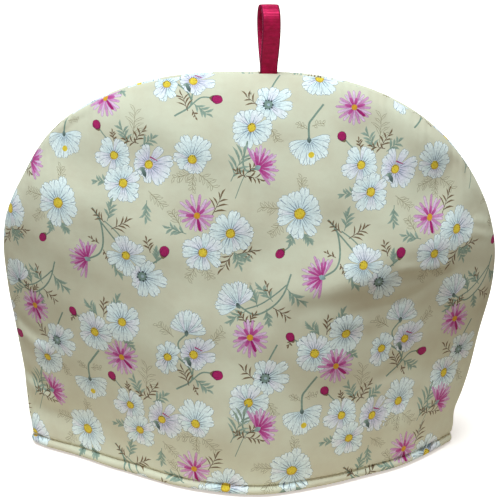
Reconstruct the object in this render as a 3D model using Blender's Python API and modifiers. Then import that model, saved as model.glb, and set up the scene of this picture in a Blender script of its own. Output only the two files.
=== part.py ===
"""Padded tea cosy with a ribbon hanging loop, standing open on its hem.

Metres, +Z up. The origin is on the surface that the hem rests on, in the middle of the open mouth.
X runs from side seam to side seam, the front panel faces -Y and the back panel faces +Y.
"""

import math

import bmesh
import bpy

# ---- Driving sizes -------------------------------------------------------------------------------

HEIGHT = 0.2740            # top of the seam above the hem
SHOULDER = 0.140           # the side seams end here and the dome begins
WALL = 0.006               # padded cloth: print, wadding and inner cloth together
PIECE_GAP = 0.0003         # between the panels along the seam, and round the ribbon's ends
RIBBON_WIDTH = 0.0120
RIBBON_THICKNESS = 0.0010
RIBBON_X = 0.0125          # the loop is caught a little to the right of the middle
RIBBON_TOP = 0.3195        # top of the loop above the hem
RIBBON_NECK = 0.0020       # height above the seam where the loop's two legs part
RIBBON_PINCH = 0.06        # part of its width that the ribbon loses where the seam holds it
RIBBON_PINCH_HEIGHT = 0.012
LOOP_SPREAD = 0.0085       # the legs bow apart to about 1.4 times this
LOOP_POWER = 1.5           # how long the legs stay close together before they bow apart
LOOP_TWIST = 0.30          # sideways shift of the legs for each metre that they stand apart
LOOP_STEPS = 22            # points on one leg
TAIL_DEPTH = 0.0040        # how deep the ribbon's two ends are caught in the seam

# ---- Shape of the body ---------------------------------------------------------------------------

DOME_POWER = {"left": 2.20, "right": 2.05}   # a superellipse, a little fuller on the left

# One row a section across the cosy. "left" and "right" are the distances of the side seams from the
# middle, "depth" is how far a panel stands out from the seam plane, the powers say how full its curve
# is on each side (low is straighter), and "roll" is how strongly it turns in at the seam.
SECTIONS = (
    {"height": 0.000, "left": 0.157, "right": 0.1445, "depth": 0.0812,
     "left_power": 1.50, "right_power": 1.60, "roll": 0.12},
    {"height": 0.014, "left": 0.1585, "right": 0.1475, "depth": 0.0808,
     "left_power": 1.50, "right_power": 1.60, "roll": 0.12},
    {"height": 0.026, "left": 0.160, "right": 0.1480, "depth": 0.0812,
     "left_power": 1.50, "right_power": 1.60, "roll": 0.13},
    {"height": 0.042, "left": 0.161, "right": 0.153, "depth": 0.0806,
     "left_power": 1.52, "right_power": 1.62, "roll": 0.15},
    {"height": 0.060, "left": 0.162, "right": 0.1575, "depth": 0.0786,
     "left_power": 1.56, "right_power": 1.66, "roll": 0.18},
    {"height": 0.085, "left": 0.165, "right": 0.162, "depth": 0.0757,
     "left_power": 1.66, "right_power": 1.74, "roll": 0.24},
    {"height": 0.125, "left": 0.170, "right": 0.170, "depth": 0.0710,
     "left_power": 1.90, "right_power": 1.88, "roll": 0.34},
    {"height": 0.172, "left": 0.172, "right": 0.1705, "depth": 0.0625,
     "left_power": 2.20, "right_power": 2.05, "roll": 0.45},
    {"height": 0.205, "left": 0.1695, "right": 0.170, "depth": 0.0588,
     "left_power": 2.20, "right_power": 2.05, "roll": 0.50},
    {"height": 0.242, "left": 0.1740, "right": 0.1725, "depth": 0.058,
     "left_power": 2.20, "right_power": 2.05, "roll": 0.50},
    {"height": 0.276, "left": 0.1745, "right": 0.178, "depth": 0.056,
     "left_power": 2.20, "right_power": 2.05, "roll": 0.50},
)

# One row a fold: a soft ridge (or a trough, where the height is negative) along a line from
# (x1, z1) to (x2, z2), seen from the front. "width" is from its middle to where it has faded.
FRONT_FOLDS = (
    {"x1": 0.035, "z1": 0.150, "x2": 0.062, "z2": 0.154, "width": 0.036, "height": 0.0012},
    {"x1": 0.062, "z1": 0.149, "x2": 0.110, "z2": 0.164, "width": 0.042, "height": 0.0030},
    {"x1": 0.110, "z1": 0.163, "x2": 0.165, "z2": 0.157, "width": 0.032, "height": 0.0014},
    {"x1": 0.080, "z1": 0.115, "x2": 0.116, "z2": 0.115, "width": 0.044, "height": -0.0042},
    {"x1": 0.034, "z1": 0.070, "x2": 0.090, "z2": 0.078, "width": 0.034, "height": -0.0020},
    {"x1": 0.106, "z1": 0.034, "x2": 0.132, "z2": 0.043, "width": 0.030, "height": 0.0030},
    {"x1": 0.106, "z1": 0.000, "x2": 0.120, "z2": 0.010, "width": 0.045, "height": 0.0036},
    {"x1": 0.085, "z1": 0.246, "x2": 0.120, "z2": 0.224, "width": 0.024, "height": 0.0018},
    {"x1": 0.080, "z1": 0.222, "x2": 0.124, "z2": 0.196, "width": 0.036, "height": -0.0044},
    {"x1": 0.128, "z1": 0.192, "x2": 0.148, "z2": 0.180, "width": 0.028, "height": -0.0036},
    {"x1": -0.145, "z1": 0.198, "x2": -0.100, "z2": 0.200, "width": 0.036, "height": 0.0020},
    {"x1": -0.150, "z1": 0.148, "x2": -0.090, "z2": 0.150, "width": 0.046, "height": -0.0028},
    {"x1": -0.152, "z1": 0.030, "x2": -0.112, "z2": 0.032, "width": 0.026, "height": -0.0038},
    {"x1": -0.108, "z1": 0.004, "x2": -0.092, "z2": 0.004, "width": 0.050, "height": -0.0050},
    {"x1": -0.115, "z1": 0.218, "x2": -0.070, "z2": 0.222, "width": 0.040, "height": -0.0040},
)
BACK_FOLDS = (
    {"x1": -0.110, "z1": 0.120, "x2": -0.030, "z2": 0.095, "width": 0.028, "height": -0.0050},
    {"x1": 0.070, "z1": 0.070, "x2": 0.140, "z2": 0.095, "width": 0.026, "height": 0.0040},
    {"x1": 0.040, "z1": 0.200, "x2": 0.090, "z2": 0.180, "width": 0.028, "height": -0.0040},
)

HEM_ROWS = (-0.010, 0.0030, 0.0058, 0.0090)   # heights of the rows that shape the turned hem
HEM_STITCH = 0.0058        # height of the row of stitches that holds the hem
HEM_GROOVE = 0.0010        # how far the stitches draw the cloth in
HEM_GROOVE_WIDTH = 0.0018  # from the groove's bottom to where it has mostly faded
MIDDLE_ROUND = 0.08        # rounds the panels' curve off at the middle, as a part of their half width
COLUMNS = 38               # faces across a panel
ROWS = 20                  # faces from the hem's top up to the seam
SEAM_CROWDING = 0.60       # how much closer together the rows are near the seam
SEAM_FADE = 0.12           # folds fade out over this part of the depth, so the seam stays flat
SKIRT = 0.0090             # how far a panel's surface runs on past the seam plane before it is cut
CLEAR = 0.35               # reach of the boxes that trim the panels, past every part of them

PRINT_COLOUR = (0.68, 0.66, 0.49)     # cream cotton
RIBBON_COLOUR = (0.45, 0.01, 0.08)    # crimson satin


# ---- Helpers -------------------------------------------------------------------------------------

def clear_scene():
    for item in list(bpy.data.objects):
        bpy.data.objects.remove(item, do_unlink=True)


def material(name, colour, roughness):
    """A Principled material of one colour."""
    made = bpy.data.materials.new(name)
    made.use_nodes = True
    shader = made.node_tree.nodes["Principled BSDF"]
    shader.inputs["Base Color"].default_value = (*colour, 1.0)
    shader.inputs["Roughness"].default_value = roughness
    shader.inputs["Metallic"].default_value = 0.0
    return made


def new_object(name, mesh, collection, surface=None):
    made = bpy.data.objects.new(name, mesh)
    collection.objects.link(made)
    if surface:
        mesh.materials.append(surface)
    return made


def box_cutter(name, low, high, collection):
    """A box from corner low to corner high that the panels are trimmed with."""
    mesh = bpy.data.meshes.new(name)
    shape = bmesh.new()
    bmesh.ops.create_cube(shape, size=1.0)
    for vert in shape.verts:
        for axis in range(3):
            middle = (low[axis] + high[axis]) / 2
            vert.co[axis] = middle + vert.co[axis] * (high[axis] - low[axis])
    shape.to_mesh(mesh)
    shape.free()
    cutter = new_object(name, mesh, collection)
    cutter.hide_render = True
    cutter.display_type = "WIRE"
    return cutter


def trim(piece, cutter, operation):
    """Add a Boolean that keeps, or takes away, what lies inside the cutter."""
    cut = piece.modifiers.new(f"{operation.title()} {cutter.name}", "BOOLEAN")
    cut.operation = operation
    cut.solver = "EXACT"
    cut.object = cutter


# ---- Body ----------------------------------------------------------------------------------------

def at_height(column, height):
    """Read one column of SECTIONS at any height, as a smooth curve through its rows."""
    heights = [row["height"] for row in SECTIONS]
    values = [row[column] for row in SECTIONS]
    height = min(max(height, heights[0]), heights[-1])
    last = len(heights) - 2
    low = next(i for i in range(last + 1) if height <= heights[i + 1] or i == last)

    def slope(i):
        before, after = max(i - 1, 0), min(i + 1, len(heights) - 1)
        return (values[after] - values[before]) / (heights[after] - heights[before])

    span = heights[low + 1] - heights[low]
    t = (height - heights[low]) / span
    return ((2 * t**3 - 3 * t**2 + 1) * values[low]
            + (t**3 - 2 * t**2 + t) * span * slope(low)
            + (3 * t**2 - 2 * t**3) * values[low + 1]
            + (t**3 - t**2) * span * slope(low + 1))


def side_of(across):
    return "left" if across < 0 else "right"


def fold_offset(folds, x, z):
    """How far the folds move the surface out at one place."""
    total = 0.0
    for fold in folds:
        run_x, run_z = fold["x2"] - fold["x1"], fold["z2"] - fold["z1"]
        along = ((x - fold["x1"]) * run_x + (z - fold["z1"]) * run_z) / (run_x**2 + run_z**2)
        along = min(max(along, 0.0), 1.0)
        distance = math.hypot(x - fold["x1"] - along * run_x, z - fold["z1"] - along * run_z)
        total += fold["height"] * math.exp(-(2 * distance / fold["width"]) ** 2)
    return total


def hem_offset(z):
    """The stitches draw the hem in, in a soft groove."""
    return -HEM_GROOVE * math.exp(-((z - HEM_STITCH) / HEM_GROOVE_WIDTH) ** 2)


def from_middle(across):
    """Distance from the middle of a panel, 0 to 1, with its corner at the middle rounded off."""
    reach = math.hypot(1.0, MIDDLE_ROUND) - MIDDLE_ROUND
    return (math.hypot(across, MIDDLE_ROUND) - MIDDLE_ROUND) / reach


def seam_height(across):
    """Height of the seam over a place across the panel, which runs from -1 to 1."""
    power = DOME_POWER[side_of(across)]
    rise = max(0.0, 1 - from_middle(across) ** power) ** (1 / power)
    return SHOULDER + (HEIGHT - SHOULDER) * rise


def body_point(across, height, folds):
    """Place of one point of a panel: across from -1 to 1, and its height. Depth is positive."""
    side = side_of(across)
    power = at_height(f"{side}_power", height)
    roll = at_height("roll", height)
    x = across * at_height(side, height)
    risen = max(0.0, (height - SHOULDER) / (HEIGHT - SHOULDER))
    inside = max(0.0, 1 - from_middle(across) ** power - risen ** DOME_POWER[side])
    depth = at_height("depth", height) * ((1 - roll) * inside + roll * math.sqrt(inside))
    edge_fade = min(1.0, inside / SEAM_FADE)
    depth += edge_fade * (fold_offset(folds, x, height) + hem_offset(height))
    return x, depth, height


def row_height(row, across):
    """Height of one row of the panel's grid: fixed in the hem, then spread out up to the seam."""
    if row < len(HEM_ROWS):
        return HEM_ROWS[row]
    climb = (row - len(HEM_ROWS) + 1) / ROWS
    climb = (1 - SEAM_CROWDING) * climb + SEAM_CROWDING * math.sin(climb * math.pi / 2)
    return HEM_ROWS[-1] + (seam_height(across) - HEM_ROWS[-1]) * climb


def panel_surface(facing, folds):
    """The panel's open outer surface: a grid laid on the body, with a skirt past the seam plane."""
    rows = len(HEM_ROWS) - 1 + ROWS
    shape = bmesh.new()
    bmesh.ops.create_grid(shape, x_segments=COLUMNS, y_segments=rows, size=1.0)
    seam = set()
    for vert in shape.verts:
        row = round((vert.co.y + 1) / 2 * rows)
        if row == rows or abs(vert.co.x) > 0.999:
            seam.add(vert)
        across = math.sin(vert.co.x * math.pi / 2)
        x, depth, z = body_point(across, row_height(row, across), folds)
        vert.co = (x, facing * depth, z)
    rim = [edge for edge in shape.edges if edge.is_boundary and seam.issuperset(edge.verts)]
    for item in bmesh.ops.extrude_edge_only(shape, edges=rim)["geom"]:
        if isinstance(item, bmesh.types.BMVert):
            item.co.y -= facing * SKIRT
    bmesh.ops.recalc_face_normals(shape, faces=shape.faces)
    if sum(face.normal.y for face in shape.faces) * facing < 0:
        bmesh.ops.reverse_faces(shape, faces=shape.faces)
    return shape


def panel(name, facing, folds, collection, cutters):
    """One padded panel. facing is -1 for the front, which lies towards -Y, and 1 for the back."""
    shape = panel_surface(facing, folds)
    mesh = bpy.data.meshes.new(name)
    shape.to_mesh(mesh)
    shape.free()
    mesh.shade_smooth()
    piece = new_object(name, mesh, collection, material(name, PRINT_COLOUR, 0.85))

    padding = piece.modifiers.new("Padded wall", "SOLIDIFY")
    padding.thickness = WALL
    padding.offset = -1.0
    padding.use_even_offset = True
    padding.use_quality_normals = True

    near, far = sorted((facing * PIECE_GAP / 2, facing * CLEAR))
    half = box_cutter(f"Half for {name}", (-CLEAR, near, 0.0), (CLEAR, far, CLEAR), cutters)
    trim(piece, half, "INTERSECT")
    return piece


# ---- Ribbon loop ---------------------------------------------------------------------------------

def seam_top():
    """Height of the seam where the ribbon is caught in it."""
    return seam_height(RIBBON_X / at_height("right", HEIGHT))


def leg_line(distance, nearest):
    """One leg of the loop seen from the side, as (out, height) from its neck to the loop's top.

    The line is moved outwards by distance, and starts where it is nearest or more from the middle.
    """
    neck = seam_top() + RIBBON_NECK
    rise = RIBBON_TOP - RIBBON_THICKNESS / 2 - neck
    line = []
    for step in range(1, LOOP_STEPS + 1):
        turn = math.pi * step / LOOP_STEPS
        half = math.sin(turn / 2)
        out = LOOP_SPREAD * math.sin(turn) * half**LOOP_POWER
        height = neck + rise * half**2
        run_out = LOOP_SPREAD * (math.cos(turn) * half**LOOP_POWER
                                 + math.sin(turn) * LOOP_POWER / 2 * half ** (LOOP_POWER - 1)
                                 * math.cos(turn / 2))
        run_up = rise * math.sin(turn) / 2
        length = math.hypot(run_out, run_up)
        out += distance * run_up / length
        height -= distance * run_out / length
        if out >= nearest or step > LOOP_STEPS / 2:
            line.append((max(out, 0.0), height))
    return line


def mirrored(line):
    """A line that ends on the middle, carried on down the other side."""
    return line + [(-out, height) for out, height in reversed(line[:-1])]


def ribbon_loop(collection, cutters):
    """The loop with its doubled tail, as its side profile extruded by the ribbon's width."""
    half = RIBBON_THICKNESS / 2
    tail_end = seam_top() - TAIL_DEPTH
    outer = mirrored([(RIBBON_THICKNESS, tail_end)] + leg_line(half, RIBBON_THICKNESS))
    inner = mirrored(leg_line(-half, PIECE_GAP))
    profile = bpy.data.curves.new("Ribbon profile", "CURVE")
    profile.dimensions = "2D"
    profile.fill_mode = "BOTH"
    profile.extrude = RIBBON_WIDTH / 2
    for line in (outer, inner):
        spline = profile.splines.new("POLY")
        spline.points.add(len(line) - 1)
        spline.use_cyclic_u = True
        for point, (out, height) in zip(spline.points, line):
            point.co = (out, height, 0.0, 1.0)
    guide = new_object("Ribbon profile", profile, collection)
    guide.rotation_euler = (math.pi / 2, 0.0, math.pi / 2)
    bpy.context.view_layer.update()
    evaluated = guide.evaluated_get(bpy.context.evaluated_depsgraph_get())
    mesh = bpy.data.meshes.new_from_object(evaluated)
    mesh.name = "ribbon_loop"
    mesh.transform(guide.matrix_world)
    bpy.data.objects.remove(guide, do_unlink=True)

    shape = bmesh.new()
    shape.from_mesh(mesh)
    bmesh.ops.remove_doubles(shape, verts=shape.verts, dist=0.00001)
    for vert in shape.verts:
        pinch = RIBBON_PINCH * math.exp(-((vert.co.z - tail_end) / RIBBON_PINCH_HEIGHT) ** 2)
        vert.co.x = RIBBON_X + vert.co.x * (1 - pinch) - LOOP_TWIST * vert.co.y
    shape.to_mesh(mesh)
    shape.free()
    new_object("ribbon_loop", mesh, collection, material("ribbon_loop", RIBBON_COLOUR, 0.35))

    reach = RIBBON_WIDTH / 2 + PIECE_GAP
    side = RIBBON_THICKNESS + PIECE_GAP
    return box_cutter("Pocket for the ribbon", (RIBBON_X - reach, -side, tail_end - PIECE_GAP),
                      (RIBBON_X + reach, side, HEIGHT + RIBBON_NECK), cutters)


def main():
    clear_scene()
    parts = bpy.data.collections.new("Tea cosy")
    cutters = bpy.data.collections.new("Cutters")
    bpy.context.scene.collection.children.link(parts)
    bpy.context.scene.collection.children.link(cutters)
    front = panel("front_panel", -1, FRONT_FOLDS, parts, cutters)
    back = panel("back_panel", 1, BACK_FOLDS, parts, cutters)
    pocket = ribbon_loop(parts, cutters)
    trim(front, pocket, "DIFFERENCE")
    trim(back, pocket, "DIFFERENCE")


main()
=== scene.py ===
"""Looks of the padded tea cosy: printed cotton panels, stitched hem and satin hanging loop.

Metres, +Z up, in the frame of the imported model: the hem stands on z = 0, the front faces -Y.
Each panel is made flat, as a planar map of its printed flowers, and is then laid on the cosy's form.
"""

import math
import random

import bmesh
import bpy
import numpy as np
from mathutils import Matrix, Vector
from mathutils.geometry import delaunay_2d_cdt


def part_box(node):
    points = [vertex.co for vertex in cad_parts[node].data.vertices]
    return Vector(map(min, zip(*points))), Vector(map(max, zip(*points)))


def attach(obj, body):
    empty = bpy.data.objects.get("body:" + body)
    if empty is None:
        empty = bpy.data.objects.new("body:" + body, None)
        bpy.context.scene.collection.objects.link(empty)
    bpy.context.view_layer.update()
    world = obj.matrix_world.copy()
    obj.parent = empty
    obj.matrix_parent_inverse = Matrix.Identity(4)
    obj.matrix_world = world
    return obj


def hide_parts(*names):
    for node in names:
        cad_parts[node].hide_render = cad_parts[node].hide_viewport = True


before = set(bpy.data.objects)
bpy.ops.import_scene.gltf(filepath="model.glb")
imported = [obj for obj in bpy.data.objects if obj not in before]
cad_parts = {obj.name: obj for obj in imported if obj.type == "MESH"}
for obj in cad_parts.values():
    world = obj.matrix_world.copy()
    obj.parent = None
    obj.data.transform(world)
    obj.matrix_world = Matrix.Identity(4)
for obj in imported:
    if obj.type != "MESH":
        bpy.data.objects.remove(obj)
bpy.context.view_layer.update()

# ---- Driving sizes -------------------------------------------------------------------------------

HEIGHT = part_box("front_panel")[1][2]  # top of the seam above the hem
SHOULDER = 0.140           # the side seams end here and the dome begins
WALL = 0.0060              # printed cotton, wadding and inner cloth together
SEAM_GAP = 0.0003          # between the two panels' rolls, whose sewn edges meet
MM = 1000.0                # the flat cloth and its print are in millimetres
CHUNK = 4000               # how many places are worked on at once, to spare memory
SURFACE_STEP = 0.0005      # for the slopes of the smooth form
DOME_POWER = {"left": 2.20, "right": 2.05}
MIDDLE_ROUND = 0.08        # rounds the panels' curve off at the middle

# One row a section across the cosy, as the construction has it. "left" and "right" are the distances
# of the side seams from the middle, "depth" is how far a panel stands out from the seam plane, the
# powers say how full its curve is, and "roll" is how strongly it turns in at the seam.
SECTION_COLUMNS = ("height", "left", "right", "depth", "left_power", "right_power", "roll")
SECTION_ROWS = (
    (0.000, 0.1570, 0.1445, 0.0812, 1.50, 1.60, 0.12),
    (0.014, 0.1585, 0.1475, 0.0808, 1.50, 1.60, 0.12),
    (0.026, 0.1600, 0.1480, 0.0812, 1.50, 1.60, 0.13),
    (0.042, 0.1610, 0.1530, 0.0806, 1.52, 1.62, 0.15),
    (0.060, 0.1620, 0.1575, 0.0786, 1.56, 1.66, 0.18),
    (0.085, 0.1650, 0.1620, 0.0757, 1.66, 1.74, 0.24),
    (0.125, 0.1700, 0.1700, 0.0710, 1.90, 1.88, 0.34),
    (0.172, 0.1720, 0.1705, 0.0625, 2.20, 2.05, 0.45),
    (0.205, 0.1695, 0.1700, 0.0588, 2.20, 2.05, 0.50),
    (0.242, 0.1740, 0.1725, 0.0580, 2.20, 2.05, 0.50),
    (0.276, 0.1745, 0.1780, 0.0560, 2.20, 2.05, 0.50),
)
SECTIONS = dict(zip(SECTION_COLUMNS, np.array(SECTION_ROWS).T))

# One row a fold, as (x1, z1, x2, z2, width, height): a soft ridge, or a trough where the height is
# negative, along a line from (x1, z1) to (x2, z2). The width is from its middle to where it has faded.
FRONT_FOLDS = (
    (-0.030, 0.072, 0.040, 0.096, 0.105, 0.0060),
    (-0.010, 0.036, 0.060, 0.038, 0.060, 0.0028),
    (0.138, 0.168, 0.158, 0.165, 0.055, -0.0016),
    (0.140, 0.112, 0.158, 0.110, 0.035, 0.0010),
    (-0.100, 0.208, -0.075, 0.208, 0.075, -0.0028),
    (-0.150, 0.034, -0.125, 0.030, 0.040, -0.0018),
    (0.035, 0.150, 0.062, 0.154, 0.036, 0.0012),
    (0.062, 0.149, 0.110, 0.164, 0.042, 0.0030),
    (0.110, 0.163, 0.165, 0.157, 0.032, 0.0014),
    (0.080, 0.115, 0.116, 0.115, 0.044, -0.0042),
    (0.103, 0.152, 0.132, 0.149, 0.009, 0.0011),
    (0.100, 0.145, 0.136, 0.142, 0.009, -0.0009),
    (0.034, 0.143, 0.078, 0.146, 0.016, 0.0009),
    (0.036, 0.132, 0.080, 0.134, 0.014, -0.0009),
    (0.068, 0.126, 0.101, 0.127, 0.008, -0.0009),
    (0.101, 0.127, 0.121, 0.137, 0.008, -0.0009),
    (0.064, 0.119, 0.080, 0.115, 0.011, 0.0011),
    (0.089, 0.074, 0.103, 0.077, 0.010, -0.0012),
    (0.086, 0.064, 0.114, 0.061, 0.018, 0.0014),
    (0.154, 0.173, 0.166, 0.168, 0.006, 0.0008),
    (0.152, 0.166, 0.165, 0.160, 0.006, 0.0008),
    (0.034, 0.070, 0.098, 0.076, 0.044, -0.0032),
    (0.128, 0.070, 0.146, 0.062, 0.018, -0.0022),
    (0.106, 0.034, 0.132, 0.043, 0.030, 0.0030),
    (0.106, 0.000, 0.120, 0.010, 0.045, 0.0036),
    (0.092, 0.252, 0.130, 0.227, 0.026, 0.0022),
    (0.076, 0.234, 0.124, 0.203, 0.036, -0.0048),
    (0.124, 0.190, 0.146, 0.180, 0.036, -0.0022),
    (-0.145, 0.198, -0.100, 0.200, 0.036, 0.0020),
    (-0.150, 0.148, -0.090, 0.150, 0.046, -0.0028),
    (-0.166, 0.099, -0.150, 0.091, 0.012, -0.0028),
    (-0.162, 0.091, -0.143, 0.081, 0.012, 0.0024),
    (-0.161, 0.058, -0.144, 0.049, 0.009, -0.0034),
    (-0.159, 0.049, -0.142, 0.041, 0.010, 0.0022),
    (-0.156, 0.028, -0.130, 0.030, 0.017, -0.0032),
    (-0.108, 0.004, -0.092, 0.004, 0.050, -0.0020),
    (-0.116, 0.028, -0.088, 0.026, 0.052, -0.0062),
    (-0.115, 0.218, -0.070, 0.222, 0.040, -0.0040),
)
BACK_FOLDS = (
    (-0.110, 0.120, -0.030, 0.095, 0.028, -0.0050),
    (0.070, 0.070, 0.140, 0.095, 0.026, 0.0040),
    (0.040, 0.200, 0.090, 0.180, 0.028, -0.0040),
)

LUMP_HEIGHT = 0.0006       # of the wadding's soft unevenness
LUMPS = (                  # direction in radians, wave length in metres, share of the height
    (0.4, 0.083, 0.9),
    (1.9, 0.061, 0.8),
    (2.7, 0.047, 0.6),
    (1.2, 0.034, 0.4),
)
PUCKERS = 150.0            # radians of the wrinkles' wave from the middle to a side seam
PUCKER_HEIGHT = 0.0005
PUCKER_REACH = 0.10        # how far in they fade, as a part of the panel's inside measure
PUCKER_START = 0.015
SEAM_FADE = 0.09           # folds fade out over this part of the inside measure
SEAM_DIP = 0.0016          # the seam line lies this deep between the two panels' rolls
SEAM_DIP_WIDTH = 0.0022
DIP_CENTRE = 0.120         # the seam is drawn in towards this height on the middle line
HEM_ROUND = WALL / 2       # radius of the hem's lower edge
HEM_STITCH = 0.0073        # height of the row of stitches that holds the hem
HEM_GROOVE = 0.0015        # how far the stitches draw the cloth in
HEM_GROOVE_WIDTH = 0.0012
HEM_PUFF = 0.0016          # how far the rolled band below the stitches swells
STITCH_PITCH = 0.0027
STITCH_DIMPLE = 0.00060    # how much deeper the groove is at each needle hole
TURNING = 0.0090           # depth of the hem's turning inside

SIDES = {                  # print_at is where the print lies on a panel's cut, in millimetres
    "front": {"facing": -1, "folds": FRONT_FOLDS, "phase": 0.6, "print_at": 1.7j},
    "back": {"facing": 1, "folds": BACK_FOLDS, "phase": 2.9, "print_at": 36 + 48j},
}


# ---- Form of a panel -----------------------------------------------------------------------------

def section(column, height):
    """Read one column of SECTIONS at many heights, as a smooth curve through its rows."""
    heights, values = SECTIONS["height"], SECTIONS[column]
    height = np.clip(height, heights[0], heights[-1])
    before = np.maximum(np.arange(len(heights)) - 1, 0)
    after = np.minimum(np.arange(len(heights)) + 1, len(heights) - 1)
    slopes = (values[after] - values[before]) / (heights[after] - heights[before])
    low = np.clip(np.searchsorted(heights, height) - 1, 0, len(heights) - 2)
    span = heights[low + 1] - heights[low]
    t = (height - heights[low]) / span
    return ((2 * t**3 - 3 * t**2 + 1) * values[low]
            + (t**3 - 2 * t**2 + t) * span * slopes[low]
            + (3 * t**2 - 2 * t**3) * values[low + 1]
            + (t**3 - t**2) * span * slopes[low + 1])


def smooth_step(t):
    """A soft rise from 0 to 1."""
    t = np.clip(t, 0.0, 1.0)
    return t * t * (3 - 2 * t)


def on_side(across, left, right):
    """A value that differs to the left and to the right of the middle."""
    return np.where(across < 0, left, right)


def from_middle(across):
    """Distance from the middle of a panel, 0 to 1, with its corner at the middle rounded off."""
    reach = math.hypot(1.0, MIDDLE_ROUND) - MIDDLE_ROUND
    return (np.hypot(across, MIDDLE_ROUND) - MIDDLE_ROUND) / reach


def seam_height(across):
    """Height of the seam over a place across the panel, which runs from -1 to 1."""
    power = on_side(across, DOME_POWER["left"], DOME_POWER["right"])
    rise = np.maximum(0.0, 1 - from_middle(across) ** power) ** (1 / power)
    return SHOULDER + (HEIGHT - SHOULDER) * rise


def half_width(across, height):
    """Distance of the side seam from the middle, on the side that each place is on."""
    return on_side(across, section("left", height), section("right", height))


def smooth_depth(across, height):
    """How far the panel stands out from the seam plane, without its folds, and how far inside it is."""
    power = on_side(across, section("left_power", height), section("right_power", height))
    roll = section("roll", height)
    risen = np.maximum(0.0, (height - SHOULDER) / (HEIGHT - SHOULDER))
    dome = on_side(across, DOME_POWER["left"], DOME_POWER["right"])
    inside = np.maximum(0.0, 1 - from_middle(across) ** power - risen ** dome)
    return section("depth", height) * ((1 - roll) * inside + roll * np.sqrt(inside)), inside


def fold_offset(folds, x, z):
    """How far the folds move the surface out at many places."""
    total = np.zeros_like(x)
    for x1, z1, x2, z2, width, height in folds:
        run_x, run_z = x2 - x1, z2 - z1
        along = ((x - x1) * run_x + (z - z1) * run_z) / (run_x**2 + run_z**2)
        along = np.clip(along, 0.0, 1.0)
        distance = np.hypot(x - x1 - along * run_x, z - z1 - along * run_z)
        total += height * np.exp(-(2 * distance / width) ** 2)
    return total


def lump_offset(x, z, phase):
    """Soft unevenness of the wadding, as a few long waves that cross each other."""
    total = np.zeros_like(x)
    for turn, length, share in LUMPS:
        across = x * math.cos(turn) + z * math.sin(turn)
        total += share * np.sin(2 * math.pi * across / length + phase * (1 + turn))
    return LUMP_HEIGHT * total


def pucker_offset(across, inside, phase):
    """Small wrinkles that run in from the seam, where its sewing gathers the cloth."""
    along = across * PUCKERS
    wave = np.sin(along + phase) * np.sin(0.37 * along + 2 * phase) * np.sin(0.13 * along + 1.0)
    near = np.exp(-(inside / PUCKER_REACH)) * np.minimum(1.0, inside / PUCKER_START)
    return PUCKER_HEIGHT * wave * near


def panel_surface(across, height, side):
    """The outer surface, with its folds: x, distance from the seam plane and height of many points."""
    depth, inside = smooth_depth(across, height)
    x = across * half_width(across, height)
    fade = smooth_step(inside / SEAM_FADE)
    soft = fold_offset(side["folds"], x, height) + lump_offset(x, height, side["phase"])
    depth = depth + fade * soft + pucker_offset(across, inside, side["phase"]) + SEAM_GAP / 2
    dip = SEAM_DIP * np.exp(-(depth / SEAM_DIP_WIDTH) ** 2)
    rise = height - np.minimum(height, DIP_CENTRE)
    away = np.maximum(np.hypot(x, rise), 1e-6)
    return np.stack([x - dip * x / away, depth, height - dip * rise / away], axis=-1)


def surface_and_normal(across, height, side):
    """The outer surface and its outward normals, from small steps across and up."""
    ahead = np.where(across > 0, -SURFACE_STEP, SURFACE_STEP)
    up = np.where(height > HEIGHT / 2, -SURFACE_STEP, SURFACE_STEP)
    here = panel_surface(across, height, side)
    one_over = (panel_surface(across + ahead, height, side) - here) * np.sign(ahead)[..., None]
    one_up = (panel_surface(across, height + up, side) - here) * np.sign(up)[..., None]
    normal = np.cross(one_up, one_over)
    length = np.maximum(np.linalg.norm(normal, axis=-1, keepdims=True), 1e-12)
    return here, normal / length


# ---- Flat cloth ----------------------------------------------------------------------------------
# A place on the flat cut is (u, v): u runs from the middle line to the right, v from the hem's lowest
# edge up the outer face. Negative v is the inner face, so the cloth of both faces is one flat map.

EDGE_RUN = HEM_ROUND * math.pi / 2   # flat length of the hem's round edge, on each face
TABLE_COLUMNS = 361
TABLE_ROWS = 220
SEAM_POINTS = 2000                   # along the whole seam, before it is taken at even steps


def run_along(steps):
    """Distance of each point of a line from its first, from the steps between its points."""
    return np.concatenate([[0.0], np.cumsum(steps)])


def flat_table():
    """Arc lengths on the smooth form: across each height, and up the middle line."""
    columns = np.sin(np.linspace(-1, 1, TABLE_COLUMNS) * math.pi / 2)
    heights = np.linspace(0.0, HEIGHT, TABLE_ROWS)
    across, height = np.meshgrid(columns, heights)
    depth = smooth_depth(across, height)[0]
    x = across * half_width(across, height)
    middle = len(columns) // 2
    steps = np.hypot(np.diff(x, axis=1), np.diff(depth, axis=1))
    run = np.concatenate([np.zeros((len(heights), 1)), np.cumsum(steps, axis=1)], axis=1)
    run -= run[:, [middle]]
    climb = run_along(np.hypot(np.diff(depth[:, middle]), np.diff(heights)))
    return {"columns": columns, "heights": heights, "run": run, "climb": climb}


FLAT = flat_table()


def edge_turn(v):
    """How far round the hem's edge a flat place is: a right angle on the outer face, minus one inside."""
    return np.clip(v / HEM_ROUND, -math.pi / 2, math.pi / 2)


def height_at(v):
    """Height on the form of a flat place, on either face."""
    beyond = np.abs(v) - EDGE_RUN + HEM_ROUND
    risen = np.interp(beyond, FLAT["climb"], FLAT["heights"])
    return np.where(np.abs(v) < EDGE_RUN, HEM_ROUND * (1 - np.cos(edge_turn(v))), risen)


def runs_at(height):
    """Flat distances from the middle line of all the table's columns, at each height."""
    place = height / HEIGHT * (TABLE_ROWS - 1)
    row = np.clip(place.astype(int), 0, TABLE_ROWS - 2)
    share = (place - row)[..., None]
    return FLAT["run"][row] * (1 - share) + FLAT["run"][row + 1] * share


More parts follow.
